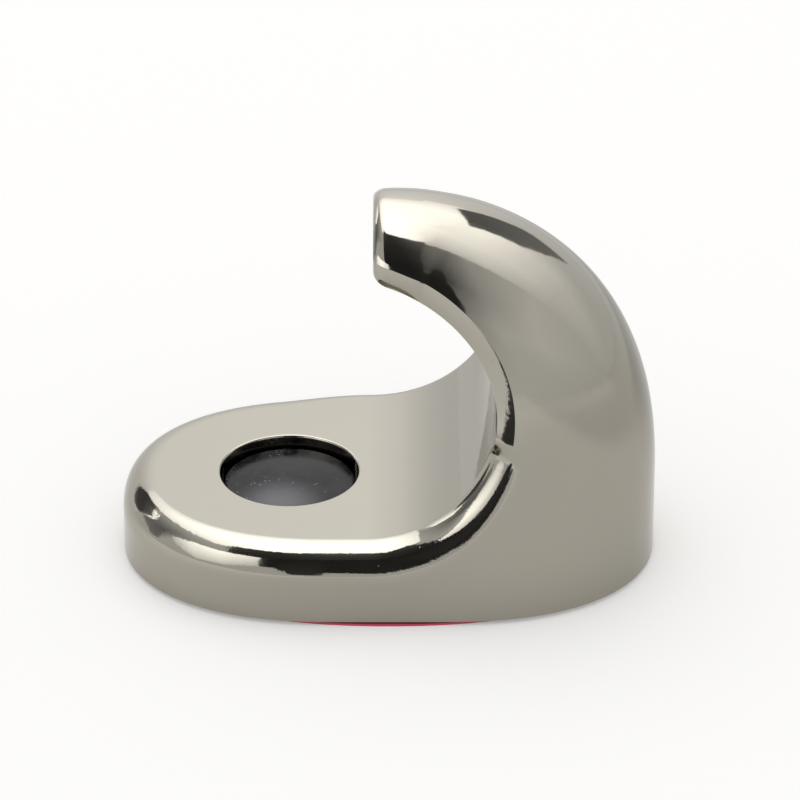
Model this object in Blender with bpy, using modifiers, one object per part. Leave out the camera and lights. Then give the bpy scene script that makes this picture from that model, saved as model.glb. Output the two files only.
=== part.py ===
# A wall hook lying on its back, in metres: one zinc casting, the cap over its screw hole, the foam
# pad in its back and the pad's release liner. The wall face is z = 0 and +Z points away from the
# wall. +X runs from the screw hole's end of the foot to the arm's end. In use -X points up.

import math

import bmesh
import bpy

# Overall sizes of the hook.
HOOK_LENGTH = 0.048
HOOK_WIDTH = 0.030
HOOK_HEIGHT = 0.035

# The foot: an oval plate with straight middles to its long sides.
FOOT_THICKNESS = 0.0068
FOOT_STRAIGHT = 0.0105
FOOT_EDGE_RADIUS = 0.0030
OVAL_POWER = 2.23

# The throat: the inner curve from the foot's top round to the underside of the tip. The foot's
# rounded edge draws in to the throat's over the first part of the way round.
THROAT_REACH = 0.01143
THROAT_EDGE_RADIUS = 0.00165
EDGE_BLEND_ANGLE = math.radians(70)

# The arm: its thickness behind the throat, and the curve of its back.
ARM_ROOT = 0.01449
BACK_STRAIGHT = 0.0075
BACK_SIDE_POWER = 2.25
BACK_TOP_POWER = 2.225
NARROWING_POWER = 1.64
CREST_BLEND_ANGLE = math.radians(46)

# The tip, which ends short of the throat's centre.
TIP_SETBACK = 0.0006
TIP_THICKNESS = 0.00582
TIP_WIDTH = 0.01205
TIP_EDGE_RADIUS = 0.0008
TIP_POWER = 1.875
TIP_BLEND_LENGTH = 0.006

# The counterbored screw hole in the foot.
SCREW_INSET = 0.01504
COUNTERBORE_RADIUS = 0.00624
COUNTERBORE_DEPTH = 0.0034
COUNTERBORE_CHAMFER = 0.0002
SCREW_HOLE_RADIUS = 0.0024

# The recess in the back, and the pad and liner that lie in and under it.
RECESS_WALL = 0.0022
RECESS_DEPTH = 0.0010
PAD_PROUD = 0.0001
PAD_HOLE_RADIUS = 0.0055
RIM_STANDOFF = 0.0003
LINER_THICKNESS = 0.0001
LINER_SIDE_OVERHANG = 0.0001
LINER_END_INSET = 0.0008
LINER_POWER = 2.0

# The cap over the screw.
CAP_RECESS = 0.00115
CAP_DOME_RISE = 0.0006
CAP_EDGE_RADIUS = 0.0003
CAP_WALL = 0.0009

# The gap between pieces that touch, and how far a cutter runs past what it cuts.
TOUCH_GAP = 0.0003
OVERRUN = 0.0005
MERGE_DISTANCE = 0.000001

# How finely the curved shapes are divided.
END_STATIONS = 20
STRAIGHT_STATIONS = 4
UNDER_STATIONS = 11
SIDE_STATIONS = 4
CREST_STATIONS = 22
TIP_STATIONS = 3
EDGE_STEPS = 5
SIDE_STEPS = 11
ROUND_STEPS = 48
OUTLINE_STEPS = 72
DOME_STEPS = 5
SMOOTH_ANGLE = math.radians(35)

HALF_LENGTH = HOOK_LENGTH / 2
HALF_WIDTH = HOOK_WIDTH / 2
HALF_STRAIGHT = FOOT_STRAIGHT / 2
BODY_BASE = LINER_THICKNESS + RIM_STANDOFF
BODY_HEIGHT = HOOK_HEIGHT - BODY_BASE
THROAT_X = HALF_LENGTH - ARM_ROOT - THROAT_REACH
THROAT_Z = FOOT_THICKNESS + THROAT_REACH
THROAT_RISE = BODY_HEIGHT - TIP_THICKNESS - THROAT_Z
BACK_REACH = HALF_LENGTH - THROAT_X
BACK_RISE = BODY_HEIGHT - BACK_STRAIGHT
TIP_START = TIP_SETBACK + TIP_EDGE_RADIUS
SCREW_X = -HALF_LENGTH + SCREW_INSET
FOOT_TOP = BODY_BASE + FOOT_THICKNESS
COUNTERBORE_FLOOR = FOOT_TOP - COUNTERBORE_DEPTH
RECESS_CEILING = BODY_BASE + RECESS_DEPTH


def ease(amount):
    """A smooth step from 0 to 1."""
    amount = min(max(amount, 0), 1)
    return amount * amount * (3 - 2 * amount)


def oval_share(place, power):
    """Half-width of an oval's end, from 1 at its widest to 0 at its tip."""
    place = min(max(place, 0), 1)
    return (1 - place ** power) ** (1 / power)


def oval_outline(half_length, half_width, half_straight, power, steps):
    """Points round an oval whose long sides are straight in the middle."""
    reach = half_length - half_straight
    points = []
    for step in range(steps):
        turn = 2 * math.pi * (step + 0.5) / steps
        across, along = math.sin(turn), math.cos(turn)
        x = math.copysign(half_straight + reach * abs(along) ** (2 / power), along)
        y = math.copysign(half_width * abs(across) ** (2 / power), across)
        points.append((x, y))
    return points


def circle_outline(radius, centre_x, steps):
    """Points round a circle whose centre is on the X axis."""
    turns = [2 * math.pi * step / steps for step in range(steps)]
    return [(centre_x + radius * math.cos(turn), radius * math.sin(turn)) for turn in turns]


def edge_steps():
    """Pairs of how deep and how far in the rounded edge is, in shares of its radius."""
    turns = [math.pi / 2 * step / EDGE_STEPS for step in range(EDGE_STEPS + 1)]
    return [(1 - math.cos(turn), 1 - math.sin(turn)) for turn in turns]


def side_shares():
    """Places down a section's side, closer together where the oval closes at the back."""
    turns = [math.pi / 2 * step / SIDE_STEPS for step in range(1, SIDE_STEPS + 1)]
    return [math.sin(turn) ** (2 / OVAL_POWER) for turn in turns]


def end_section(turn):
    """A column of points at a turn from the foot's free end towards its long side."""
    across, along = math.sin(turn), max(math.cos(turn), 0)
    reach = HALF_LENGTH - HALF_STRAIGHT
    x = -(HALF_STRAIGHT + reach * along ** (2 / OVAL_POWER))
    y = HALF_WIDTH * across ** (2 / OVAL_POWER)
    lean_x = along ** (2 - 2 / OVAL_POWER) / reach
    lean_y = across ** (2 - 2 / OVAL_POWER) / HALF_WIDTH
    size = math.hypot(lean_x, lean_y)
    return foot_column(x, y, lean_x / size, lean_y / size)


def foot_column(x, y, inward_x, inward_y):
    """A column down the foot's side at (x, y): inner middle, rounded edge, wall, back middle."""
    points = []
    for depth, inset in edge_steps():
        place_x = x + inward_x * inset * FOOT_EDGE_RADIUS
        place_y = max(y - inward_y * inset * FOOT_EDGE_RADIUS, 0)
        points.append((place_x, -place_y, FOOT_THICKNESS - depth * FOOT_EDGE_RADIUS))
    for share in side_shares():
        points.append((x, -y, (FOOT_THICKNESS - FOOT_EDGE_RADIUS) * (1 - share)))
    top = points[0]
    return [(top[0], 0, top[2])] + points + [(x, 0, 0)]


def end_place(x):
    """How far x is into the foot's rounded end: 0 where it starts and 1 at its tip."""
    return (x - HALF_STRAIGHT) / (HALF_LENGTH - HALF_STRAIGHT)


def arm_section(inner, outer, angle, outer_place=1, slim=0):
    """A section of the arm from its inner face outwards, at an angle round the throat.

    It closes at the back where outer_place is 1, and is open at the foot's underside elsewhere.
    slim draws the section in all round, for the rounded edge of the tip's end.
    """
    length = math.dist(inner, outer)
    drawn_in = ease((angle + math.pi / 2) / EDGE_BLEND_ANGLE)
    radius = FOOT_EDGE_RADIUS + (THROAT_EDGE_RADIUS - FOOT_EDGE_RADIUS) * drawn_in
    radius = min(radius, length / 2)
    shares = [depth * radius / length for depth, inset in edge_steps()]
    insets = [inset * radius for depth, inset in edge_steps()]
    for share in side_shares():
        shares.append(radius / length + (1 - radius / length) * share)
        insets.append(0)
    turned = (angle + math.pi / 2) / math.pi
    narrow = (1 - TIP_WIDTH / HOOK_WIDTH) * turned ** NARROWING_POWER
    crest = ease(angle / CREST_BLEND_ANGLE)
    inner_place = end_place(inner[0])
    if angle > 0:
        inner_place = max(end_place(HALF_LENGTH - ARM_ROOT), 0) * (1 - crest)
    power = OVAL_POWER + (TIP_POWER - OVAL_POWER) * crest
    middle = (inner[1] + outer[1]) / 2
    slim_width = 1 - 2 * slim / TIP_WIDTH
    slim_height = 1 - 2 * slim / length
    points = []
    for share, inset in zip(shares, insets):
        x = inner[0] + share * (outer[0] - inner[0])
        z = inner[1] + share * (outer[1] - inner[1])
        place = inner_place + (outer_place - inner_place) * share
        taper = 1
        if angle < 0:
            place = max(place, end_place(-x))
            taper = ease(z / inner[1])
        half = HALF_WIDTH * (1 - narrow * taper) * oval_share(place, power)
        half = max(half - inset, 0) * slim_width
        points.append((x, -half, middle + (z - middle) * slim_height))
    foremost = points[0]
    hindmost = points[-1]
    return [(foremost[0], 0, foremost[2])] + points + [(hindmost[0], 0, hindmost[2])]


def throat_point(angle):
    """A point of the throat's curve: a circle below, drawn in to an ellipse above."""
    across, up = math.cos(angle), math.sin(angle)
    rise = THROAT_REACH if up < 0 else THROAT_RISE
    distance = 1 / math.hypot(across / THROAT_REACH, up / rise)
    return THROAT_X + distance * across, THROAT_Z + distance * up


def throat_height(reach):
    """Height of the throat's upper curve at a distance along X from its centre."""
    return THROAT_Z + THROAT_RISE * math.sqrt(1 - (reach / THROAT_REACH) ** 2)


def back_height(reach):
    """Height of the arm's back at a distance along X from the throat's centre."""
    left = 1 - (reach / BACK_REACH) ** BACK_SIDE_POWER
    return BACK_STRAIGHT + BACK_RISE * max(left, 0) ** (1 / BACK_TOP_POWER)


def spread(first, last, count):
    """count values that run on from first, which is left out, to last."""
    return [first + (last - first) * step / count for step in range(1, count + 1)]


def body_sections():
    """Every section of the casting, from the foot's free end round the throat to the tip."""
    straight_start = min(-HALF_STRAIGHT, THROAT_X)
    last_turn = math.acos(max(end_place(-straight_start), 0) ** (OVAL_POWER / 2))
    sections = [end_section(turn) for turn in [0] + spread(0, last_turn, END_STATIONS)]
    if straight_start < THROAT_X:
        for x in spread(straight_start, THROAT_X, STRAIGHT_STATIONS):
            sections.append(foot_column(x, HALF_WIDTH, 0, 1))
    corner_angle = math.atan2(-THROAT_Z, BACK_REACH)
    lean_angle = math.atan2(BACK_STRAIGHT - THROAT_Z, BACK_REACH)
    end_start = max(HALF_STRAIGHT, THROAT_X)
    outers = spread(THROAT_X, end_start, STRAIGHT_STATIONS)
    for turn in spread(0, math.pi / 2, UNDER_STATIONS):
        outers.append(end_start + (HALF_LENGTH - end_start) * math.sin(turn) ** (2 / OVAL_POWER))
    for outer_x in outers:
        angle = math.atan2(-THROAT_Z, outer_x - THROAT_X)
        sections.append(arm_section(throat_point(angle), (outer_x, 0), angle, end_place(outer_x)))
    for angle in spread(corner_angle, lean_angle, SIDE_STATIONS):
        outer_z = THROAT_Z + BACK_REACH * math.tan(angle)
        sections.append(arm_section(throat_point(angle), (HALF_LENGTH, outer_z), angle))
    last_turn = math.acos((TIP_START / BACK_REACH) ** (BACK_SIDE_POWER / 2))
    for turn in spread(0, last_turn, CREST_STATIONS):
        sections.append(crest_section(BACK_REACH * math.cos(turn) ** (2 / BACK_SIDE_POWER)))
    for turn in spread(0, math.pi / 2, TIP_STATIONS):
        reach = TIP_START - TIP_EDGE_RADIUS * math.sin(turn)
        slim = TIP_EDGE_RADIUS * (1 - math.cos(turn))
        inner = (THROAT_X + reach, throat_height(reach))
        outer = (THROAT_X + reach, back_height(reach))
        angle = math.atan2(inner[1] - THROAT_Z, reach)
        sections.append(arm_section(inner, outer, angle, slim=slim))
    return sections


def crest_section(reach):
    """A section whose outer end is on the curved back, upright by the time it meets the tip."""
    outer = (THROAT_X + reach, back_height(reach))
    ray = throat_point(math.atan2(outer[1] - THROAT_Z, reach))
    upright = ease(1 - (reach - TIP_START) / TIP_BLEND_LENGTH)
    inner_reach = (ray[0] - THROAT_X) * (1 - upright) + reach * upright
    if outer[1] < THROAT_Z:
        inner = ray
    else:
        inner = (THROAT_X + inner_reach, throat_height(inner_reach))
    angle = math.atan2(inner[1] - THROAT_Z, inner[0] - THROAT_X)
    return arm_section(inner, outer, angle)


def make_material(name, colour, roughness, metallic):
    """A Principled material of one finish."""
    material = bpy.data.materials.new(name)
    material.use_nodes = True
    shader = material.node_tree.nodes["Principled BSDF"]
    shader.inputs["Base Color"].default_value = (*colour, 1)
    shader.inputs["Roughness"].default_value = roughness
    shader.inputs["Metallic"].default_value = metallic
    return material


def add_object(name, data, collection):
    """An object for a mesh or curve, in a collection."""
    thing = bpy.data.objects.new(name, data)
    collection.objects.link(thing)
    return thing


def flat_curve(name, outlines, thickness):
    """A flat plate from closed outlines, an inner one being a hole."""
    curve = bpy.data.curves.new(name, "CURVE")
    curve.dimensions = "2D"
    curve.fill_mode = "BOTH"
    curve.extrude = thickness / 2
    for outline in outlines:
        spline = curve.splines.new("POLY")
        spline.points.add(len(outline) - 1)
        for point, (x, y) in zip(spline.points, outline):
            point.co = (x, y, 0, 1)
        spline.use_cyclic_u = True
    return curve


def turned_object(name, profile, collection):
    """A piece turned about its own Z axis, from a profile of (radius, height) points."""
    mesh = bpy.data.meshes.new(name)
    edges = [(index, index + 1) for index in range(len(profile) - 1)]
    mesh.from_pydata([(radius, 0, height) for radius, height in profile], edges, [])
    thing = add_object(name, mesh, collection)
    screw = thing.modifiers.new("Turn", "SCREW")
    screw.axis = "Z"
    screw.steps = ROUND_STEPS
    screw.render_steps = ROUND_STEPS
    screw.use_merge_vertices = True
    screw.merge_threshold = MERGE_DISTANCE
    screw.use_smooth_shade = False
    return thing


def hide_cutter(cutter):
    """Show a cutter as wire only."""
    cutter.hide_render = True
    cutter.display_type = "WIRE"


def make_screw_cutter(collection):
    """The counterbore, its chamfered mouth and the screw's clearance hole, as one turned cutter."""
    flare = COUNTERBORE_RADIUS + COUNTERBORE_CHAMFER + OVERRUN
    cutter_top = BODY_BASE + THROAT_Z
    profile = [
        (0, cutter_top),
        (flare, cutter_top),
        (flare, FOOT_TOP + OVERRUN),
        (COUNTERBORE_RADIUS, FOOT_TOP - COUNTERBORE_CHAMFER),
        (COUNTERBORE_RADIUS, COUNTERBORE_FLOOR),
        (SCREW_HOLE_RADIUS, COUNTERBORE_FLOOR),
        (SCREW_HOLE_RADIUS, BODY_BASE - OVERRUN),
        (0, BODY_BASE - OVERRUN),
    ]
    cutter = turned_object("screw_hole_cutter", profile, collection)
    cutter.location.x = SCREW_X
    hide_cutter(cutter)
    return cutter


def recess_outline(clearance):
    """The recess's outline, drawn in by a clearance."""
    inset = RECESS_WALL + clearance
    return oval_outline(
        HALF_LENGTH - inset, HALF_WIDTH - inset, HALF_STRAIGHT, OVAL_POWER, OUTLINE_STEPS)


def make_recess_cutter(collection):
    """The recess for the pad, as a flat cutter that runs out of the back."""
    depth = RECESS_DEPTH + OVERRUN
    plate = add_object(
        "recess_plate", flat_curve("recess_plate", [recess_outline(0)], depth), collection)
    bpy.context.view_layer.update()
    solid = plate.evaluated_get(bpy.context.evaluated_depsgraph_get())
    mesh = bpy.data.meshes.new_from_object(solid)
    bpy.data.objects.remove(plate)
    shape = bmesh.new()
    shape.from_mesh(mesh)
    bmesh.ops.remove_doubles(shape, verts=shape.verts, dist=MERGE_DISTANCE)
    shape.to_mesh(mesh)
    shape.free()
    cutter = add_object("pad_recess_cutter", mesh, collection)
    cutter.location.z = RECESS_CEILING - depth / 2
    hide_cutter(cutter)
    return cutter


def make_hook_body(parts, cutters):
    """The casting: half of it lofted through its sections, mirrored, then cut for screw and pad."""
    sections = body_sections()
    rows = len(sections[0])
    points = [point for section in sections for point in section]
    faces = []
    for column in range(len(sections) - 1):
        for row in range(rows - 1):
            first = column * rows + row
            faces.append((first, first + 1, first + rows + 1, first + rows))
    last = (len(sections) - 1) * rows
    faces.append(tuple(range(last, last + rows)))
    mesh = bpy.data.meshes.new("hook_body")
    mesh.from_pydata(points, [], faces)
    shape = bmesh.new()
    shape.from_mesh(mesh)
    bmesh.ops.remove_doubles(shape, verts=shape.verts, dist=MERGE_DISTANCE)
    bmesh.ops.dissolve_degenerate(shape, edges=shape.edges, dist=MERGE_DISTANCE)
    shape.to_mesh(mesh)
    shape.free()
    body = add_object("hook_body", mesh, parts)
    body.location.z = BODY_BASE
    mirror = body.modifiers.new("Other half", "MIRROR")
    mirror.use_axis = (False, True, False)
    mirror.merge_threshold = MERGE_DISTANCE
    for title, cutter in (
            ("Screw hole", make_screw_cutter(cutters)), ("Pad recess", make_recess_cutter(cutters))):
        cut = body.modifiers.new(title, "BOOLEAN")
        cut.operation = "DIFFERENCE"
        cut.solver = "EXACT"
        cut.object = cutter
    mesh.shade_smooth()
    mesh.set_sharp_from_angle(angle=SMOOTH_ANGLE)
    body.data.materials.append(make_material("nickel plate", (0.58, 0.55, 0.48), 0.12, 1))
    return body


def make_screw_cap(parts):
    """The push-in cap: a shallow dome on a skirt that stands on the counterbore's floor."""
    outer = COUNTERBORE_RADIUS - TOUCH_GAP
    inner = outer - CAP_WALL
    skirt_foot = TOUCH_GAP
    rim = COUNTERBORE_DEPTH - CAP_RECESS
    ball = (outer * outer + CAP_DOME_RISE * CAP_DOME_RISE) / (2 * CAP_DOME_RISE)
    dome_edge = outer - CAP_EDGE_RADIUS
    profile = []
    for step in range(DOME_STEPS + 1):
        radius = dome_edge * step / DOME_STEPS
        sag = ball - math.sqrt(ball * ball - radius * radius)
        profile.append((radius, rim + CAP_DOME_RISE - sag))
    shoulder = profile[-1][1] - CAP_EDGE_RADIUS
    profile.append((dome_edge + CAP_EDGE_RADIUS * math.sin(math.pi / 4),
                    shoulder + CAP_EDGE_RADIUS * math.cos(math.pi / 4)))
    profile.append((outer, shoulder))
    profile.append((outer, skirt_foot))
    profile.append((inner, skirt_foot))
    profile.append((inner, rim - CAP_WALL))
    profile.append((0, rim + CAP_DOME_RISE - CAP_WALL))
    cap = turned_object("screw_cap", profile, parts)
    cap.location = (SCREW_X, 0, COUNTERBORE_FLOOR)
    cap.data.materials.append(make_material("black plastic", (0.03, 0.03, 0.032), 0.35, 0))
    return cap


def make_adhesive_pad(parts):
    """The foam pad: it fills the recess, clears the screw and stands just proud of the rim."""
    bottom = BODY_BASE - PAD_PROUD
    top = RECESS_CEILING - TOUCH_GAP
    outlines = [
        recess_outline(TOUCH_GAP),
        circle_outline(PAD_HOLE_RADIUS, SCREW_X, ROUND_STEPS),
    ]
    pad = add_object("adhesive_pad", flat_curve("adhesive_pad", outlines, top - bottom), parts)
    pad.location.z = (top + bottom) / 2
    pad.data.materials.append(make_material("acrylic foam", (0.10, 0.10, 0.10), 0.8, 0))
    return pad


def make_release_liner(parts):
    """The film that covers the pad until it is stuck up. It shows along the foot's long sides."""
    outline = oval_outline(
        HALF_LENGTH - LINER_END_INSET, HALF_WIDTH + LINER_SIDE_OVERHANG, 0, LINER_POWER,
        OUTLINE_STEPS)
    liner = add_object(
        "release_liner", flat_curve("release_liner", [outline], LINER_THICKNESS), parts)
    liner.location.z = LINER_THICKNESS / 2
    liner.data.materials.append(make_material("red film", (0.45, 0.02, 0.04), 0.4, 0))
    return liner


for old in list(bpy.data.objects):
    bpy.data.objects.remove(old)
hook_parts = bpy.data.collections.new("wall_hook")
hook_cutters = bpy.data.collections.new("cutters")
bpy.context.scene.collection.children.link(hook_parts)
bpy.context.scene.collection.children.link(hook_cutters)
make_hook_body(hook_parts, hook_cutters)
make_screw_cap(hook_parts)
make_adhesive_pad(hook_parts)
make_release_liner(hook_parts)
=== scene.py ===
import math

import bmesh
import bpy
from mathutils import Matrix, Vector


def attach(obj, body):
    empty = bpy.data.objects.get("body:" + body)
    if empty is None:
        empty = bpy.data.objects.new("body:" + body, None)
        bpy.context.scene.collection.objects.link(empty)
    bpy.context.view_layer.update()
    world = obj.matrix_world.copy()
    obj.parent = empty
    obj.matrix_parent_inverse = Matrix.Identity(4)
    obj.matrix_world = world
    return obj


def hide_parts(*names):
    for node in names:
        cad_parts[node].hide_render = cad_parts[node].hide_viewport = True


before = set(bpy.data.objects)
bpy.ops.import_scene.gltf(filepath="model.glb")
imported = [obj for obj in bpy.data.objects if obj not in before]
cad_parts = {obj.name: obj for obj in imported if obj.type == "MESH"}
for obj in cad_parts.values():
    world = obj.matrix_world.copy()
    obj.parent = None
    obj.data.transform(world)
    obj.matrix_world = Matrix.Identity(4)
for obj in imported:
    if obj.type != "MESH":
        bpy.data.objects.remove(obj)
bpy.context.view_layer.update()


# The camera stands in front of the hook and looks down on it, far enough away with a long lens
# that the small casting hardly tapers with distance.
CAMERA_DISTANCE = 0.450
CAMERA_PITCH = math.radians(29.525)
CAMERA_TARGET = Vector((0.001026, 0, 0.014466))
CAMERA_LENS = 226.03
CAMERA_NEAR_CLIP = 0.01

camera_back = Vector((0, -math.cos(CAMERA_PITCH), math.sin(CAMERA_PITCH)))
camera = bpy.data.objects.new("camera", bpy.data.cameras.new("camera"))
camera.data.lens = CAMERA_LENS
camera.data.clip_start = CAMERA_NEAR_CLIP
camera.location = CAMERA_TARGET + camera_back * CAMERA_DISTANCE
camera.rotation_euler = camera_back.to_track_quat("Z", "Y").to_euler()
bpy.context.scene.collection.objects.link(camera)
bpy.context.scene.camera = camera
bpy.context.scene.view_settings.view_transform = "Standard"


# The studio: white paper under the hook in a pale room, with one large soft light overhead, a lit
# wall behind, and the black flags and glowing cards that give the polished metal its bands.
PAPER_WHITE = "EFEEEC"
PAPER_SHADE = "000000"
PAPER_HALF_SIZE = 1.5
PAPER_GLOW = 0.24
PAPER_LEFT_GLOW = 0.16
PAPER_LEFT_LIMITS = (-0.050, -0.010)
PAPER_RIGHT_GLOW = 0.15
PAPER_RIGHT_SLANT = 0.4
PAPER_RIGHT_LIMITS = (0.056, 0.082)
PAPER_FAR_GLOW = 0.15
PAPER_FAR_LIMITS = (0.08, 0.30)
PAPER_BACK_SHARE = 0.3
PAPER_BACK_LIMITS = (-0.010, 0.030)
# The painted shade on the paper behind the arm, which only the metal sees.
PAPER_PAINTED_SHADE_DIM = 0.22
PAPER_PAINTED_SHADE_PLACE = (0.045, 0.080, 0)
PAPER_PAINTED_SHADE_LIMITS = (0.045, 0.075)
ROOM_LIGHT = 0.92
SOFT_LIGHT_SHARE = 0.45
SOFT_LIGHT_DISTANCE = 1.10
RIGHT_GLOW_DISTANCE = 1.12
REAR_WALL_DISTANCE = 1.15
FRONT_FLAG_DISTANCE = 1.05
NEAR_FLAG_DISTANCE = 0.055
NEAR_FLAG_PLACE = (-0.004, -0.014, 0.006)
FRONT_SHADE_DISTANCE = 1.06
ARM_FLAG_DISTANCE = 1.0
LEFT_GLOW_DISTANCE = 0.07
LEFT_GLOW_PLACE = (-0.012, -0.013, 0.005)
LEFT_CARD_DISTANCE = 1.12
LEFT_FLAG_DISTANCE = 0.045
LEFT_FLAG_PLACE = (-0.020, -0.006, 0.006)
SHEET_STEPS = 10


def linear(colour):
    """An sRGB hex colour as the linear values that a shader takes."""
    shares = [int(colour[start:start + 2], 16) / 255 for start in (0, 2, 4)]
    values = [((share + 0.055) / 1.055) ** 2.4 if share > 0.04045 else share / 12.92
              for share in shares]
    return (*values, 1)


def add_node(tree, kind, inputs=None, **settings):
    """A shader node with its settings, its inputs set to values or linked to other nodes."""
    node = tree.nodes.new(kind)
    for name, value in settings.items():
        setattr(node, name, value)
    for socket, value in (inputs or {}).items():
        if isinstance(value, bpy.types.NodeSocket):
            tree.links.new(value, node.inputs[socket])
        else:
            node.inputs[socket].default_value = value
    return node


# The sockets of a colour mix: how much of the second colour, the two colours, and the result.
MIX_SHARE, MIX_FIRST, MIX_SECOND, MIX_RESULT = 0, 6, 7, 2


def seen_rays(tree):
    """1 for rays from the camera, from metal and from glass, and 0 for the rays that light."""
    rays = add_node(tree, "ShaderNodeLightPath")
    shiny = add_node(tree, "ShaderNodeMath", {
        0: rays.outputs["Is Camera Ray"], 1: rays.outputs["Is Glossy Ray"]}, operation="MAXIMUM")
    all_seen = add_node(tree, "ShaderNodeMath", {
        0: shiny.outputs[0], 1: rays.outputs["Is Transmission Ray"]}, operation="MAXIMUM")
    return all_seen.outputs[0]


def empty_material(name):
    """A material whose node tree holds nothing yet."""
    material = bpy.data.materials.new(name)
    material.use_nodes = True
    material.node_tree.nodes.clear()
    return material


def glow_material(name, light_share):
    """Cloth or paper that glows as its mesh says, and lights the room with a share of that."""
    material = empty_material(name)
    tree = material.node_tree
    glow = add_node(tree, "ShaderNodeAttribute", attribute_name="glow")
    share = add_node(tree, "ShaderNodeMapRange", {
        "Value": seen_rays(tree), "To Min": light_share, "To Max": 1.0})
    strength = add_node(tree, "ShaderNodeMath", {0: glow.outputs["Fac"], 1: share.outputs[0]},
                        operation="MULTIPLY")
    light = add_node(tree, "ShaderNodeEmission", {"Strength": strength.outputs[0]})
    add_node(tree, "ShaderNodeOutputMaterial", {"Surface": light.outputs[0]})
    return material


def add_sheet(name, distance, lattice, material, seen_from=(0, 0, 0), lights_room=False):
    """A sheet of the studio, which hangs some way from a place on the hook.

    Each row of the lattice holds corners of (right, over, glow): degrees to the right of the
    camera's side, degrees up from the floor in front and over the top, and how bright it is.
    """
    corners = []
    for row in lattice:
        line = []
        for right, over, glow in row:
            across, up = math.radians(right), math.radians(over)
            line.append(Vector((seen_from[0] + distance * math.sin(across),
                                seen_from[1] - distance * math.cos(across) * math.cos(up),
                                seen_from[2] + distance * math.cos(across) * math.sin(up), glow)))
        corners.append(line)
    points, faces = [], []
    row_length = SHEET_STEPS + 1
    for low, high in zip(corners, corners[1:]):
        for index in range(len(low) - 1):
            start = len(points)
            for down in range(row_length):
                left = low[index].lerp(high[index], down / SHEET_STEPS)
                right = low[index + 1].lerp(high[index + 1], down / SHEET_STEPS)
                points += [left.lerp(right, along / SHEET_STEPS) for along in range(row_length)]
            for down in range(SHEET_STEPS):
                for along in range(SHEET_STEPS):
                    first = start + down * row_length + along
                    faces.append((first, first + 1, first + row_length + 1, first + row_length))
    mesh = bpy.data.meshes.new(name)
    mesh.from_pydata([point[:3] for point in points], [], faces)
    glows = mesh.attributes.new("glow", "FLOAT", "POINT")
    glows.data.foreach_set("value", [point[3] for point in points])
    mesh.materials.append(material)
    sheet = bpy.data.objects.new(name, mesh)
    sheet.visible_camera = False
    sheet.visible_shadow = False
    sheet.visible_diffuse = lights_room
    bpy.context.scene.collection.objects.link(sheet)


# White studio paper, which looks an even white to the camera. In the metal alone it glows with
# painted light, brighter in front than behind, brightest to the left and far off, less bright past
# a slanted line on the right, and a patch behind the arm is greyed with painted shade.
paper = empty_material("white studio paper")
tree = paper.node_tree
rays = add_node(tree, "ShaderNodeLightPath")
place = add_node(tree, "ShaderNodeTexCoord").outputs["Object"]
axes = add_node(tree, "ShaderNodeSeparateXYZ", {0: place})
# The paper's extra glow for glossy rays is painted light, seen in the metal alone.
left = add_node(tree, "ShaderNodeMapRange", {
    "Value": axes.outputs["X"], "From Min": PAPER_LEFT_LIMITS[0],
    "From Max": PAPER_LEFT_LIMITS[1], "To Min": PAPER_LEFT_GLOW, "To Max": 0.0},
    interpolation_type="SMOOTHSTEP")
slant = add_node(tree, "ShaderNodeMath", {
    0: axes.outputs["Y"], 1: PAPER_RIGHT_SLANT, 2: axes.outputs["X"]}, operation="MULTIPLY_ADD")
right = add_node(tree, "ShaderNodeMapRange", {
    "Value": slant.outputs[0], "From Min": PAPER_RIGHT_LIMITS[0],
    "From Max": PAPER_RIGHT_LIMITS[1], "To Min": PAPER_RIGHT_GLOW, "To Max": 0.0},
    interpolation_type="SMOOTHSTEP")
across = add_node(tree, "ShaderNodeMath", {0: left.outputs[0], 1: right.outputs[0]})
away = add_node(tree, "ShaderNodeVectorMath", {0: place}, operation="LENGTH")
beyond = add_node(tree, "ShaderNodeMapRange", {
    "Value": away.outputs["Value"], "From Min": PAPER_FAR_LIMITS[0],
    "From Max": PAPER_FAR_LIMITS[1], "To Min": 0.0, "To Max": PAPER_FAR_GLOW},
    interpolation_type="SMOOTHSTEP")
around = add_node(tree, "ShaderNodeMath", {0: across.outputs[0], 1: beyond.outputs[0]})
back = add_node(tree, "ShaderNodeMapRange", {
    "Value": axes.outputs["Y"], "From Min": PAPER_BACK_LIMITS[0],
    "From Max": PAPER_BACK_LIMITS[1], "To Min": 1.0, "To Max": PAPER_BACK_SHARE},
    interpolation_type="SMOOTHSTEP")
mirrored = add_node(tree, "ShaderNodeMath", {0: around.outputs[0], 1: back.outputs[0]},
                    operation="MULTIPLY")
to_metal = add_node(tree, "ShaderNodeMath", {
    0: rays.outputs["Is Glossy Ray"], 1: mirrored.outputs[0]}, operation="MULTIPLY")
# Painted shade: a patch behind the arm that the metal alone sees greyer.
off_painted_shade = add_node(tree, "ShaderNodeVectorMath", {0: place, 1: PAPER_PAINTED_SHADE_PLACE},
                     operation="DISTANCE")
patch = add_node(tree, "ShaderNodeMapRange", {
    "Value": off_painted_shade.outputs["Value"], "From Min": PAPER_PAINTED_SHADE_LIMITS[0],
    "From Max": PAPER_PAINTED_SHADE_LIMITS[1], "To Min": PAPER_PAINTED_SHADE_DIM, "To Max": 0.0},
    interpolation_type="SMOOTHSTEP")
dimmed = add_node(tree, "ShaderNodeMath", {
    0: rays.outputs["Is Glossy Ray"], 1: patch.outputs[0]}, operation="MULTIPLY")
seen = add_node(tree, "ShaderNodeMix", {
    MIX_SHARE: dimmed.outputs[0], MIX_FIRST: linear(PAPER_WHITE),
    MIX_SECOND: linear(PAPER_SHADE)}, data_type="RGBA")
matt = add_node(tree, "ShaderNodeBsdfDiffuse", {"Color": seen.outputs[MIX_RESULT]})
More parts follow.
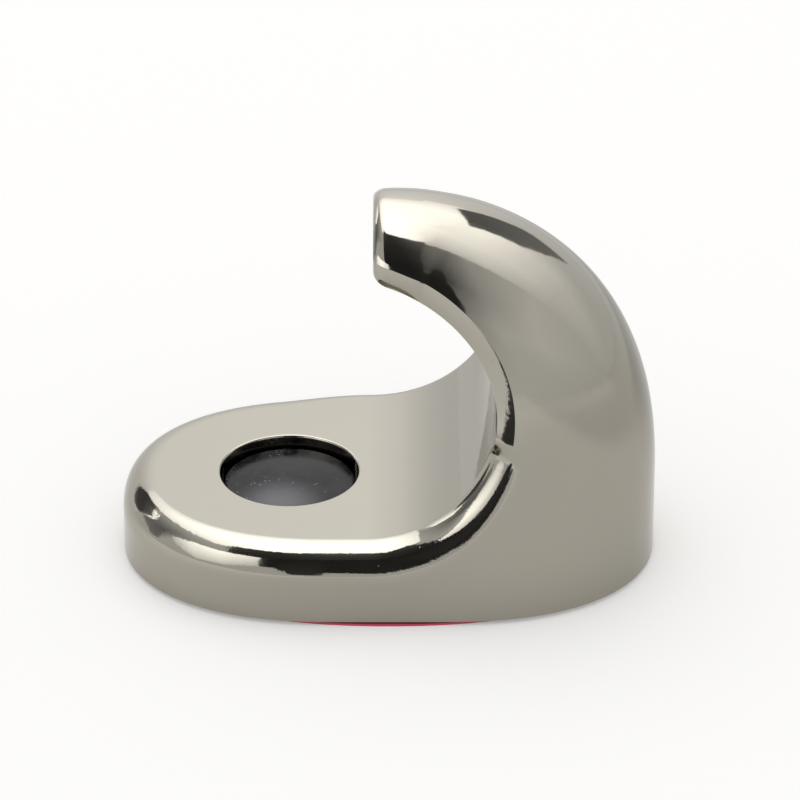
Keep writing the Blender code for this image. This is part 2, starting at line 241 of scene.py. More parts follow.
fill = add_node(tree, "ShaderNodeMath", {
    0: rays.outputs["Is Camera Ray"], 1: PAPER_GLOW, 2: to_metal.outputs[0]},
    operation="MULTIPLY_ADD")
white = add_node(tree, "ShaderNodeEmission", {"Strength": fill.outputs[0]})
both = add_node(tree, "ShaderNodeAddShader", {0: matt.outputs[0], 1: white.outputs[0]})
add_node(tree, "ShaderNodeOutputMaterial", {"Surface": both.outputs[0]})
floor_mesh = bpy.data.meshes.new("floor")
floor_mesh.from_pydata([(PAPER_HALF_SIZE * x, PAPER_HALF_SIZE * y, 0)
                        for x, y in ((-1, -1), (1, -1), (1, 1), (-1, 1))], [], [(0, 1, 2, 3)])
floor_mesh.materials.append(paper)
floor = bpy.data.objects.new("floor", floor_mesh)
bpy.context.scene.collection.objects.link(floor)

world = bpy.data.worlds.new("pale room")
world.use_nodes = True
bpy.context.scene.world = world
tree = world.node_tree
tree.nodes.clear()
room = add_node(tree, "ShaderNodeMapRange", {
    "Value": seen_rays(tree), "To Min": ROOM_LIGHT, "To Max": 1.0})
air = add_node(tree, "ShaderNodeBackground", {"Strength": room.outputs[0]})
add_node(tree, "ShaderNodeOutputWorld", {"Surface": air.outputs[0]})

# The sheets that hang round the hook. Only the soft light lights the room, and the rest show in
# glossy surfaces alone. Those a metre off look much the same from all over the hook, and the three
# close by shape single bands on its near side and its free end.
soft_cloth = glow_material("soft light cloth", SOFT_LIGHT_SHARE)
card = glow_material("studio card", 1.0)
card.cycles.emission_sampling = "NONE"
add_sheet("overhead_soft_light", SOFT_LIGHT_DISTANCE, [
    [(-29, 85, 2.3), (-12, 76, 3.1), (0, 73, 3.1), (10, 80, 1.7)],
    [(-30, 105, 2.3), (-12, 105, 3.5), (0, 105, 3.5), (17, 105, 2.45)],
    [(-28, 130, 2.1), (-12, 130, 3.1), (0, 130, 3.1), (20, 130, 2.75)],
    [(-24, 146, 1.8), (-12, 146, 1.9), (0, 145, 2.0), (14, 144, 2.2)]],
    soft_cloth, lights_room=True)
add_sheet("right_glow", RIGHT_GLOW_DISTANCE, [
    [(4, 70, 0.5), (26, 68, 0.65), (42, 70, 0.92), (56, 70, 0.93), (86, 70, 0.8)],
    [(5, 85, 1.6), (27, 84, 1.5), (42, 84, 1.2), (56, 84, 1.0), (86, 84, 0.82)],
    [(8, 100, 2.4), (27, 98, 1.95), (42, 98, 1.5), (56, 98, 1.08), (86, 98, 0.82)],
    [(8, 126, 2.8), (25, 126, 2.6), (42, 126, 1.5), (56, 126, 1.1), (86, 126, 0.82)],
    [(8, 148, 2.0), (25, 148, 1.6), (42, 153, 0.95), (56, 153, 0.88), (86, 153, 0.82)]], card)
add_sheet("rear_wall", REAR_WALL_DISTANCE, [
    [(-54, 124, 2.8), (-38, 126, 2.8), (-29, 138, 1.1), (-14, 140, 1.4), (4, 140, 1.75),
     (24, 140, 1.2), (50, 140, 0.9), (86, 140, 0.82)],
    [(-54, 150, 1.1), (-38, 154, 1.0), (-29, 154, 1.0), (-14, 154, 1.35), (4, 154, 1.5),
     (24, 154, 1.1), (50, 154, 0.88), (86, 154, 0.82)],
    [(-54, 180, 0.9), (-38, 180, 0.85), (-29, 180, 0.85), (-14, 180, 0.9), (4, 180, 0.9),
     (24, 180, 0.85), (50, 180, 0.8), (86, 180, 0.8)]], card)
add_sheet("front_flag", FRONT_FLAG_DISTANCE, [
    [(-34, 28, 0.03), (-11, 24, 0.03), (1, 20, 0.03)],
    [(-38, 42, 0.03), (-11, 45, 0.03), (1, 45, 0.04)],
    [(-30, 66, 0.05), (-11, 66, 0.05), (6, 66, 0.1)],
    [(-22, 86, 0.15), (-11, 80, 0.06), (10, 82, 0.25)]], card)
add_sheet("near_flag", NEAR_FLAG_DISTANCE, [
    [(-24, 23, 0.03), (-20, 13, 0.05), (-16, 3, 0.06), (-5, 3, 0.06), (-3, 13, 0.03),
     (6, 7, 0.04)],
    [(-19, 56, 0.03), (-16, 57, 0.03), (-12, 58, 0.03), (-6, 58, 0.03), (-1, 58, 0.03),
     (6, 58, 0.04)]], card, seen_from=NEAR_FLAG_PLACE)
add_sheet("front_shade", FRONT_SHADE_DISTANCE, [
    [(0, 0, 0.85), (30, 0, 0.87), (60, 0, 0.8), (86, 0, 0.77)],
    [(0, 26, 0.5), (20, 26, 0.85), (45, 26, 0.98), (84, 26, 0.8)],
    [(0, 48, 0.06), (20, 48, 0.6), (45, 48, 0.97), (84, 48, 0.82)],
    [(8, 80, 0.25), (20, 78, 0.65), (48, 78, 0.96), (84, 78, 0.82)]], card)
add_sheet("arm_flag", ARM_FLAG_DISTANCE, [
    [(22, 121, 0.18), (37, 130, 0.25)],
    [(15, 144, 0.18), (40, 145, 0.3)],
    [(27, 160, 0.25), (38, 165, 0.3)]], card)
add_sheet("left_glow", LEFT_GLOW_DISTANCE, [
    [(-22, 26, 1.1), (-18, 56, 2.1)],
    [(-42, 14, 1.3), (-35, 64, 3.0)],
    [(-60, 12, 1.3), (-46, 80, 2.6)],
    [(-70, 62, 1.0), (-60, 93, 1.3)]], card, seen_from=LEFT_GLOW_PLACE)
add_sheet("left_card", LEFT_CARD_DISTANCE, [
    [(-82, 80, 0.9), (-56, 78, 0.8), (-46, 74, 0.6), (-30, 68, 0.8)],
    [(-82, 100, 0.3), (-56, 100, 0.2), (-46, 100, 0.4), (-28, 100, 0.95)],
    [(-82, 148, 0.35), (-57, 146, 0.35), (-50, 121, 0.3), (-27, 127, 0.75)]], card)
add_sheet("left_flag", LEFT_FLAG_DISTANCE, [
    [(-50, 126, 0.3), (-26, 134, 0.1)],
    [(-56, 147, 0.1), (-25, 147, 0.08)],
    [(-56, 162, 0.1), (-32, 162, 0.1)],
    [(-46, 172, 0.25), (-40, 170, 0.25)]], card, seen_from=LEFT_FLAG_PLACE)


# The hook is one zinc die casting, polished and nickel plated: an oval foot that turns up round
# the throat into a thick arm, which narrows and ends in a short blunt tip over the foot.
HOOK_LENGTH = 0.048
HOOK_WIDTH = 0.030
HOOK_HEIGHT = 0.0346
HOOK_BASE = 0.0004
FOOT_THICKNESS = 0.0068
FOOT_STRAIGHT = 0.0105
FOOT_EDGE_RADIUS = 0.0030
OVAL_POWER = 2.23
THROAT_REACH = 0.01143
NEAR_BAND_DEPTH = 0.00155
NEAR_BAND_GROWTH = 0.00055
NEAR_BAND_SLIMNESS = 0.55
NEAR_BAND_FIRST_TURN = math.radians(56)
NEAR_BAND_CREASE = math.radians(28)
NEAR_BLEND_START = math.radians(-19)
NEAR_BLEND_ANGLE = math.radians(11)
FAR_EDGE_RADIUS = 0.00165
FAR_BLEND_START = -0.0105
FAR_BLEND_LENGTH = 0.0086
ARM_ROOT = 0.01449
BACK_STRAIGHT = 0.0075
BACK_SIDE_POWER = 2.25
BACK_TOP_POWER = 2.225
NARROWING_POWER = 1.64
CREST_BLEND_ANGLE = math.radians(46)
TIP_SETBACK = 0.0006
TIP_THICKNESS = 0.00582
TIP_WIDTH = 0.01205
TIP_EDGE_LENGTH = 0.00115
TIP_EDGE_RADIUS = 0.0008
TIP_POWER = 1.875
TIP_BLEND_LENGTH = 0.006
SCREW_X = -0.00896
COUNTERBORE_RADIUS = 0.00624
COUNTERBORE_DEPTH = 0.0034
COUNTERBORE_LIP = 0.0002
SCREW_HOLE_RADIUS = 0.0024
RECESS_WALL = 0.0022
RECESS_DEPTH = 0.0010
HOOK_SHARP_ANGLE = math.radians(16)

# How finely the meshes are drawn.
END_STATIONS = 56
STRAIGHT_STATIONS = 8
UNDER_STATIONS = 34
SIDE_STATIONS = 10
CREST_STATIONS = 90
TIP_STATIONS = 10
EDGE_STEPS = 16
SIDE_STEPS = 34
LIP_STEPS = 6
ROUND_STEPS = 96
OUTLINE_STEPS = 144
WELD = 0.000001

HALF_LENGTH = HOOK_LENGTH / 2
HALF_WIDTH = HOOK_WIDTH / 2
HALF_STRAIGHT = FOOT_STRAIGHT / 2
THROAT_X = HALF_LENGTH - ARM_ROOT - THROAT_REACH
THROAT_Z = FOOT_THICKNESS + THROAT_REACH
THROAT_RISE = HOOK_HEIGHT - TIP_THICKNESS - THROAT_Z
BACK_REACH = HALF_LENGTH - THROAT_X
BACK_RISE = HOOK_HEIGHT - BACK_STRAIGHT
TIP_START = TIP_SETBACK + TIP_EDGE_LENGTH
FOOT_TOP = HOOK_BASE + FOOT_THICKNESS
COUNTERBORE_FLOOR = FOOT_TOP - COUNTERBORE_DEPTH


def ease(amount):
    """A smooth step from 0 to 1."""
    amount = min(max(amount, 0), 1)
    return amount * amount * (3 - 2 * amount)


def oval_share(place, power):
    """Half-width of an oval's end, from 1 at its widest to 0 at its tip."""
    place = min(max(place, 0), 1)
    return (1 - place ** power) ** (1 / power)


def end_place(x):
    """How far x is into the foot's rounded end: 0 where it starts and 1 at its tip."""
    return (x - HALF_STRAIGHT) / (HALF_LENGTH - HALF_STRAIGHT)


def spread(first, last, count):
    """count values that run on from first, which is left out, to last."""
    return [first + (last - first) * step / count for step in range(1, count + 1)]


SIDE_SHARES = [math.sin(turn) ** (2 / OVAL_POWER) for turn in spread(0, math.pi / 2, SIDE_STEPS)]


def polished_edge(far, x, angle):
    """Depths and insets down the polished edge, from the top or the throat to the side.

    It is fully round along the foot and tighter in the throat. On the near side it was ground to
    a nearly flat band between two creases. The band is a stretch of a quarter circle, from its
    first turn to its last, scaled to the band's depth and width.
    """
    if far:
        tightened, ground = ease((x - FAR_BLEND_START) / FAR_BLEND_LENGTH), 0
        throat_reach = FAR_EDGE_RADIUS
    else:
        tightened = ground = ease((angle - NEAR_BLEND_START) / NEAR_BLEND_ANGLE)
        throat_reach = NEAR_BAND_DEPTH + NEAR_BAND_GROWTH * ease(2 * angle / math.pi)
    depth_reach = FOOT_EDGE_RADIUS + (throat_reach - FOOT_EDGE_RADIUS) * tightened
    inset_reach = depth_reach * (1 - NEAR_BAND_SLIMNESS * ground)
    first_turn = NEAR_BAND_FIRST_TURN * ground
    last_turn = math.pi / 2 - NEAR_BAND_CREASE * ground
    depth_scale = depth_reach / (math.cos(first_turn) - math.cos(last_turn))
    inset_scale = inset_reach / (math.sin(last_turn) - math.sin(first_turn))
    return [(depth_scale * (math.cos(first_turn) - math.cos(turn)),
             inset_scale * (math.sin(last_turn) - math.sin(turn)))
            for turn in [first_turn] + spread(first_turn, last_turn, EDGE_STEPS)]


def foot_column(far, x, y, inward_x, inward_y):
    """Points down the foot's side at (x, y): its middle, the rounded edge, the wall, the back."""
    edge = polished_edge(far, x, -math.pi / 2)
    points = []
    for depth, inset in edge:
        place_y = max(y - inward_y * inset, 0)
        points.append((x + inward_x * inset, -place_y, FOOT_THICKNESS - depth))
    for share in SIDE_SHARES:
        points.append((x, -y, (FOOT_THICKNESS - edge[-1][0]) * (1 - share)))
    middle = (x + inward_x * FOOT_EDGE_RADIUS, 0, FOOT_THICKNESS)
    return [middle] + points + [(x, 0, 0)]


def foot_end_column(far, turn):
    """The foot's side at a turn from its free end towards its long side."""
    across, along = math.sin(turn), max(math.cos(turn), 0)
    reach = HALF_LENGTH - HALF_STRAIGHT
    x = -(HALF_STRAIGHT + reach * along ** (2 / OVAL_POWER))
    y = HALF_WIDTH * across ** (2 / OVAL_POWER)
    lean_x = along ** (2 - 2 / OVAL_POWER) / reach
    lean_y = across ** (2 - 2 / OVAL_POWER) / HALF_WIDTH
    size = math.hypot(lean_x, lean_y)
    return foot_column(far, x, y, lean_x / size, lean_y / size)


def arm_section(far, inner, outer, angle, outer_place=1, slim=0):
    """A section of the arm from the throat outwards, at an angle round the throat."""
    length = math.dist(inner, outer)
    edge = polished_edge(far, inner[0], angle)
    shares = [depth / length for depth, inset in edge]
    insets = [inset for depth, inset in edge]
    edge_share = shares[-1]
    for share in SIDE_SHARES:
        shares.append(edge_share + (1 - edge_share) * share)
        insets.append(0)
    turned = (angle + math.pi / 2) / math.pi
    narrow = (1 - TIP_WIDTH / HOOK_WIDTH) * turned ** NARROWING_POWER
    crest = ease(angle / CREST_BLEND_ANGLE)
    inner_place = end_place(inner[0])
    if angle > 0:
        inner_place = max(end_place(HALF_LENGTH - ARM_ROOT), 0) * (1 - crest)
    power = OVAL_POWER + (TIP_POWER - OVAL_POWER) * crest
    middle = (inner[1] + outer[1]) / 2
    points = []
    for share, inset in zip(shares, insets):
        x = inner[0] + share * (outer[0] - inner[0])
        z = inner[1] + share * (outer[1] - inner[1])
        place = inner_place + (outer_place - inner_place) * share
        taper = 1
        if angle < 0:
            place = max(place, end_place(-x))
            taper = ease(z / inner[1])
        half = HALF_WIDTH * (1 - narrow * taper) * oval_share(place, power)
        half = max(half - inset, 0) * (1 - 2 * slim / TIP_WIDTH)
        points.append((x, -half, middle + (z - middle) * (1 - 2 * slim / length)))
    first, last = points[0], points[-1]
    return [(first[0], 0, first[2])] + points + [(last[0], 0, last[2])]


def throat_point(angle):
    """A point of the throat's curve: a circle below, drawn in to an ellipse above."""
    across, up = math.cos(angle), math.sin(angle)
    rise = THROAT_REACH if up < 0 else THROAT_RISE
    distance = 1 / math.hypot(across / THROAT_REACH, up / rise)
    return THROAT_X + distance * across, THROAT_Z + distance * up


def throat_height(reach):
    """Height of the throat's upper curve at a distance along X from its centre."""
    return THROAT_Z + THROAT_RISE * math.sqrt(1 - (reach / THROAT_REACH) ** 2)


def back_height(reach):
    """Height of the arm's back at a distance along X from the throat's centre."""
    left = 1 - (reach / BACK_REACH) ** BACK_SIDE_POWER
    return BACK_STRAIGHT + BACK_RISE * max(left, 0) ** (1 / BACK_TOP_POWER)


def crest_section(far, reach):
    """A section out to the curved back, upright by the time it meets the tip."""
    outer = (THROAT_X + reach, back_height(reach))
    inner = throat_point(math.atan2(outer[1] - THROAT_Z, reach))
    if outer[1] >= THROAT_Z:
        upright = ease(1 - (reach - TIP_START) / TIP_BLEND_LENGTH)
        inner_reach = (inner[0] - THROAT_X) * (1 - upright) + reach * upright
        inner = (THROAT_X + inner_reach, throat_height(inner_reach))
    return arm_section(far, inner, outer, math.atan2(inner[1] - THROAT_Z, inner[0] - THROAT_X))


def tip_section(far, turn):
    """A section of the tip's rounded end, drawn in all round as the turn goes on."""
    reach = TIP_START - TIP_EDGE_LENGTH * math.sin(turn)
    inner = (THROAT_X + reach, throat_height(reach))
    outer = (THROAT_X + reach, back_height(reach))
    slim = TIP_EDGE_RADIUS * (1 - math.cos(turn))
    return arm_section(far, inner, outer, math.atan2(inner[1] - THROAT_Z, reach), slim=slim)


def casting_sections(far):
    """Half of the casting, from the foot's free end round the throat to the tip."""
    quarter = math.pi / 2
    sections = [foot_end_column(far, turn) for turn in [0] + spread(0, quarter, END_STATIONS)]
    for x in spread(-HALF_STRAIGHT, THROAT_X, STRAIGHT_STATIONS):
        sections.append(foot_column(far, x, HALF_WIDTH, 0, 1))
    outers = spread(THROAT_X, HALF_STRAIGHT, STRAIGHT_STATIONS)
    for turn in spread(0, quarter, UNDER_STATIONS):
        outers.append(HALF_STRAIGHT + (HALF_LENGTH - HALF_STRAIGHT)
                      * math.sin(turn) ** (2 / OVAL_POWER))
    for outer_x in outers:
        angle = math.atan2(-THROAT_Z, outer_x - THROAT_X)
        sections.append(arm_section(far, throat_point(angle), (outer_x, 0), angle,
                                    end_place(outer_x)))
    corner_angle = math.atan2(-THROAT_Z, BACK_REACH)
    lean_angle = math.atan2(BACK_STRAIGHT - THROAT_Z, BACK_REACH)
    for angle in spread(corner_angle, lean_angle, SIDE_STATIONS):
        outer_z = THROAT_Z + BACK_REACH * math.tan(angle)
        sections.append(arm_section(far, throat_point(angle), (HALF_LENGTH, outer_z), angle))
    last_turn = math.acos((TIP_START / BACK_REACH) ** (BACK_SIDE_POWER / 2))
    for turn in spread(0, last_turn, CREST_STATIONS):
        reach = BACK_REACH * math.cos(turn) ** (2 / BACK_SIDE_POWER)
        sections.append(crest_section(far, reach))
    return sections + [tip_section(far, turn) for turn in spread(0, quarter, TIP_STATIONS)]


def add_piece(name, points, faces, edge_shares=()):
    """A new piece from points and faces, with doubled points welded."""
    mesh = bpy.data.meshes.new(name)
    mesh.from_pydata(points, [], faces)
    if edge_shares:
        mesh.attributes.new("edge", "FLOAT", "POINT").data.foreach_set("value", edge_shares)
    shape = bmesh.new()
    shape.from_mesh(mesh)
    bmesh.ops.remove_doubles(shape, verts=shape.verts, dist=WELD)
    bmesh.ops.dissolve_degenerate(shape, edges=shape.edges, dist=WELD)
    bmesh.ops.recalc_face_normals(shape, faces=shape.faces)
    shape.to_mesh(mesh)
    shape.free()
    piece = bpy.data.objects.new(name, mesh)
    bpy.context.scene.collection.objects.link(piece)
    return piece


def turned_piece(name, profile, centre_x):
    """A closed piece turned round an upright axis, from (radius, height) points."""
    points, faces = [], []
    for step in range(ROUND_STEPS):
        turn = 2 * math.pi * step / ROUND_STEPS
        for radius, height in profile:
            points.append((centre_x + radius * math.cos(turn), radius * math.sin(turn), height))
    rows = len(profile)
    for step in range(ROUND_STEPS):
        here, there = step * rows, (step + 1) % ROUND_STEPS * rows
        for row in range(rows - 1):
            faces.append((here + row, there + row, there + row + 1, here + row + 1))
    return add_piece(name, points, faces)


def oval_outline(half_length, half_width, half_straight, power):
    """Points round an oval whose long sides are straight in the middle."""
    points = []
    for step in range(OUTLINE_STEPS):
        turn = 2 * math.pi * (step + 0.5) / OUTLINE_STEPS
        across, along = math.sin(turn), math.cos(turn)
        reach = (half_length - half_straight) * abs(along) ** (2 / power)
        points.append((math.copysign(half_straight + reach, along),
                       math.copysign(half_width * abs(across) ** (2 / power), across)))
    return points


def plate_piece(name, outline, low, high):
    """A flat plate with an outline, between two heights."""
    count = len(outline)
    points = [(x, y, low) for x, y in outline] + [(x, y, high) for x, y in outline]
    faces = [tuple(range(count)), tuple(range(count, 2 * count))]
    for index in range(count):
        after = (index + 1) % count
        faces.append((index, after, after + count, index + count))
    return add_piece(name, points, faces)


def cut_piece(piece, cutters):
    """Cut a piece with the cutters, keep the result as its mesh and throw the cutters away."""
    for cutter in cutters:
        cut = piece.modifiers.new(cutter.name, "BOOLEAN")
        cut.operation = "DIFFERENCE"
        cut.solver = "EXACT"
        cut.object = cutter
    bpy.context.view_layer.update()
    whole = piece.evaluated_get(bpy.context.evaluated_depsgraph_get())
    piece.data = bpy.data.meshes.new_from_object(whole)
    piece.modifiers.clear()
    for cutter in cutters:
        bpy.data.objects.remove(cutter)


def smooth_piece(piece, sharp_angle):
    """Shade a piece smooth but for its sharp edges, and keep its flat faces flat."""
    piece.data.shade_smooth()
    piece.data.set_sharp_from_angle(angle=sharp_angle)
    weighted = piece.modifiers.new("Flat faces", "WEIGHTED_NORMAL")
    weighted.keep_sharp = True


# The casting's two halves. Each point's edge share says how far it is into the polished edge, 1 in
# its middle and 0 off it, which the nickel takes up.
points, faces, edge_shares = [], [], []
for far in (False, True):
    sections = casting_sections(far)
    rows = len(sections[0])
    start = len(points)
    for section in sections:
        points += [(x, -y if far else y, z + HOOK_BASE) for x, y, z in section]
        for row in range(rows):
            edge_shares.append(math.sin(math.pi * min(max(row - 1, 0) / EDGE_STEPS, 1)))
    for column in range(len(sections) - 1):
        for row in range(rows - 1):
            first = start + column * rows + row
            faces.append((first, first + 1, first + rows + 1, first + rows))
    faces.append(tuple(range(len(points) - rows, len(points))))
hook = add_piece("nickel_hook", points, faces, edge_shares)

lip_profile = [(0, FOOT_TOP + COUNTERBORE_DEPTH),
               (COUNTERBORE_RADIUS + 2 * COUNTERBORE_LIP, FOOT_TOP + COUNTERBORE_DEPTH),
               (COUNTERBORE_RADIUS + 2 * COUNTERBORE_LIP, FOOT_TOP + COUNTERBORE_LIP / 2)]
for turn in [math.pi / 2] + spread(math.pi / 2, 0, LIP_STEPS):
    lip_profile.append((COUNTERBORE_RADIUS + COUNTERBORE_LIP * (1 - math.cos(turn)),
                        FOOT_TOP - COUNTERBORE_LIP * (1 - math.sin(turn))))
lip_profile += [(COUNTERBORE_RADIUS, COUNTERBORE_FLOOR), (SCREW_HOLE_RADIUS, COUNTERBORE_FLOOR),
                (SCREW_HOLE_RADIUS, HOOK_BASE - RECESS_DEPTH), (0, HOOK_BASE - RECESS_DEPTH)]
screw_cutter = turned_piece("screw_cutter", lip_profile, SCREW_X)
recess_cutter = plate_piece(
    "recess_cutter",
    oval_outline(HALF_LENGTH - RECESS_WALL, HALF_WIDTH - RECESS_WALL, HALF_STRAIGHT, OVAL_POWER),
    HOOK_BASE - RECESS_DEPTH, HOOK_BASE + RECESS_DEPTH)
cut_piece(hook, [screw_cutter, recess_cutter])
smooth_piece(hook, HOOK_SHARP_ANGLE)

# Nickel plate over polished zinc: a warm grey mirror. The buffing left slow waves in the die
# casting and a fine peel along its edges, so the edges of what it reflects run rough, and a few
# casting pits show as specks. Handling left faint smudges.
NICKEL_WARM = "A6A196"
NICKEL_COOL = "A29F95"
NICKEL_ROUGHNESS = (0.055, 0.105)
TONE_SPACING = 0.007
SMUDGE_SPACING = 0.003
SMUDGE_DETAIL = 5.0
SMUDGE_SWIRL = 0.6
SMUDGE_LIMITS = (0.35, 0.75)
WAVE_SPACING = 0.0022
WAVE_HEIGHT = 0.000012
PEEL_SPACING = 0.00042
PEEL_DETAIL = 3.0
PEEL_HEIGHT = 0.000014
PEEL_PATCH_SPACING = 0.0016
PEEL_PATCH_LIMITS = (0.4, 0.65)
PEEL_LEAST_SHARE = 0.15
PEEL_FACE_SHARE = 0.06
PIT_SPACING = 0.0009
PIT_SHARE = 0.1
PIT_CHANCE = 0.16
PIT_DEPTH = 0.000012

nickel = empty_material("bright nickel plate")
tree = nickel.node_tree
place = add_node(tree, "ShaderNodeTexCoord").outputs["Object"]
tone = add_node(tree, "ShaderNodeTexNoise", {"Vector": place, "Scale": 1 / TONE_SPACING})
plate = add_node(tree, "ShaderNodeMix", {
    MIX_SHARE: tone.outputs[0], MIX_FIRST: linear(NICKEL_WARM),
    MIX_SECOND: linear(NICKEL_COOL)}, data_type="RGBA")
smudge = add_node(tree, "ShaderNodeTexNoise", {
    "Vector": place, "Scale": 1 / SMUDGE_SPACING, "Detail": SMUDGE_DETAIL,
    "Distortion": SMUDGE_SWIRL})
polish = add_node(tree, "ShaderNodeMapRange", {
    "Value": smudge.outputs[0], "From Min": SMUDGE_LIMITS[0], "From Max": SMUDGE_LIMITS[1],
    "To Min": NICKEL_ROUGHNESS[0], "To Max": NICKEL_ROUGHNESS[1]})
waves = add_node(tree, "ShaderNodeTexNoise", {"Vector": place, "Scale": 1 / WAVE_SPACING})
waved = add_node(tree, "ShaderNodeBump", {"Height": waves.outputs[0], "Distance": WAVE_HEIGHT})
edge = add_node(tree, "ShaderNodeAttribute", attribute_name="edge")
uneven = add_node(tree, "ShaderNodeTexNoise", {
    "Vector": place, "Scale": 1 / PEEL_PATCH_SPACING, "Detail": PEEL_DETAIL})
patchy = add_node(tree, "ShaderNodeMapRange", {
    "Value": uneven.outputs[0], "From Min": PEEL_PATCH_LIMITS[0],
    "From Max": PEEL_PATCH_LIMITS[1], "To Min": PEEL_LEAST_SHARE})
rubbed = add_node(tree, "ShaderNodeMath", {
    0: edge.outputs["Fac"], 1: patchy.outputs[0], 2: PEEL_FACE_SHARE}, operation="MULTIPLY_ADD")
peel = add_node(tree, "ShaderNodeTexNoise", {
    "Vector": place, "Scale": 1 / PEEL_SPACING, "Detail": PEEL_DETAIL})
peeled = add_node(tree, "ShaderNodeBump", {
    "Strength": rubbed.outputs[0], "Height": peel.outputs[0], "Distance": PEEL_HEIGHT,
    "Normal": waved.outputs[0]})
pits = add_node(tree, "ShaderNodeTexVoronoi", {"Vector": place, "Scale": 1 / PIT_SPACING})
hollow = add_node(tree, "ShaderNodeMapRange", {
    "Value": pits.outputs["Distance"], "From Max": PIT_SHARE}, interpolation_type="SMOOTHSTEP")
chance = add_node(tree, "ShaderNodeSeparateColor", {0: pits.outputs["Color"]})
sound = add_node(tree, "ShaderNodeMath", {0: chance.outputs[0], 1: PIT_CHANCE},
                 operation="GREATER_THAN")
level = add_node(tree, "ShaderNodeMath", {0: hollow.outputs[0], 1: sound.outputs[0]},
                 operation="MAXIMUM")
pitted = add_node(tree, "ShaderNodeBump", {
    "Height": level.outputs[0], "Distance": PIT_DEPTH, "Normal": peeled.outputs[0]})
surface = add_node(tree, "ShaderNodeBsdfPrincipled", {
    "Base Color": plate.outputs[MIX_RESULT], "Metallic": 1.0, "Roughness": polish.outputs[0],
    "Normal": pitted.outputs[0]})
add_node(tree, "ShaderNodeOutputMaterial", {"Surface": surface.outputs[0]})
hook.data.materials.clear()
hook.data.materials.append(nickel)
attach(hook, "hook")
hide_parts("hook_body")


# The cap that hides the screw: one small moulding in black plastic, a shallow dome on a skirt
# that is pushed into the counterbore and stands on its floor.
CAP_GAP = 0.0003
CAP_RECESS = 0.00115
CAP_DOME_RISE = 0.0006
CAP_EDGE_RADIUS = 0.0003
CAP_WALL = 0.0009
CAP_EDGE_TURNS = (70, 50, 30, 15, 0)
CAP_SHARP_ANGLE = math.radians(35)
DOME_STEPS = 16

cap_outer = COUNTERBORE_RADIUS - CAP_GAP
cap_inner = cap_outer - CAP_WALL
cap_rim = FOOT_TOP - CAP_RECESS
dome_edge = cap_outer - CAP_EDGE_RADIUS
dome_ball = (cap_outer ** 2 + CAP_DOME_RISE ** 2) / (2 * CAP_DOME_RISE)
cap_profile = []
for step in range(DOME_STEPS + 1):
    radius = dome_edge * step / DOME_STEPS
    sag = dome_ball - math.sqrt(dome_ball ** 2 - radius ** 2)
    cap_profile.append((radius, cap_rim + CAP_DOME_RISE - sag))
shoulder = cap_profile[-1][1] - CAP_EDGE_RADIUS
for degrees in CAP_EDGE_TURNS:
    turn = math.radians(degrees)
    cap_profile.append((dome_edge + CAP_EDGE_RADIUS * math.cos(turn),
                        shoulder + CAP_EDGE_RADIUS * math.sin(turn)))
cap_foot = COUNTERBORE_FLOOR + CAP_GAP
cap_profile += [(cap_outer, cap_foot), (cap_inner, cap_foot), (cap_inner, cap_rim - CAP_WALL),
                (0, cap_rim + CAP_DOME_RISE - CAP_WALL)]
cap = turned_piece("black_screw_cap", cap_profile, SCREW_X)
smooth_piece(cap, CAP_SHARP_ANGLE)

# Black polyethylene from a fine matt mould: a soft gloss over an even grain, scuffed a little
# lighter where it was handled. Specks of pale dust are caught on one side. A round pale patch
# towards the front, in the dust's grey, is a painted highlight.
PLASTIC_BLACK = "151417"
SCUFF_GREY = "2C2B2D"
DUST_AND_HIGHLIGHT_GREY = "8E8F93"
PLASTIC_ROUGHNESS = (0.18, 0.3)
PLASTIC_SHINE = 0.14
GRAIN_SPACING = 0.00022
GRAIN_DETAIL = 3.0
GRAIN_HEIGHT = 0.000004
SCUFF_SPACING = 0.0024
SCUFF_DETAIL = 6.0
SCUFF_SWIRL = 1.5
SCUFF_LIMITS = (0.45, 0.7)
GLOSS_LIMITS = (0.3, 0.7)
DUST_SPACING = 0.00055
DUST_LIMITS = (0.1, 0.22)
DUST_PATCH_SPACING = 0.006
DUST_PATCH_DETAIL = 3.0
DUST_PATCH_LIMITS = (0.48, 0.62)
# A painted highlight on the dome's front: where it lies, how far it fades, and how much grey it
# paints.
PAINTED_HIGHLIGHT_PLACE = (-0.0098, -0.0050, 0.0064)
PAINTED_HIGHLIGHT_LIMITS = (0.0006, 0.0052)
PAINTED_HIGHLIGHT_COVER = 0.68

plastic = empty_material("moulded black plastic")
tree = plastic.node_tree
place = add_node(tree, "ShaderNodeTexCoord").outputs["Object"]
scuffs = add_node(tree, "ShaderNodeTexNoise", {
    "Vector": place, "Scale": 1 / SCUFF_SPACING, "Detail": SCUFF_DETAIL,
    "Distortion": SCUFF_SWIRL})
scuffed = add_node(tree, "ShaderNodeMapRange", {
    "Value": scuffs.outputs[0], "From Min": SCUFF_LIMITS[0], "From Max": SCUFF_LIMITS[1]})
moulded = add_node(tree, "ShaderNodeMix", {
    MIX_SHARE: scuffed.outputs[0], MIX_FIRST: linear(PLASTIC_BLACK),
    MIX_SECOND: linear(SCUFF_GREY)}, data_type="RGBA")
dust = add_node(tree, "ShaderNodeTexVoronoi", {"Vector": place, "Scale": 1 / DUST_SPACING})
speck = add_node(tree, "ShaderNodeMapRange", {
    "Value": dust.outputs["Distance"], "From Min": DUST_LIMITS[0], "From Max": DUST_LIMITS[1],
    "To Min": 1.0, "To Max": 0.0})
patch = add_node(tree, "ShaderNodeTexNoise", {
    "Vector": place, "Scale": 1 / DUST_PATCH_SPACING, "Detail": DUST_PATCH_DETAIL})
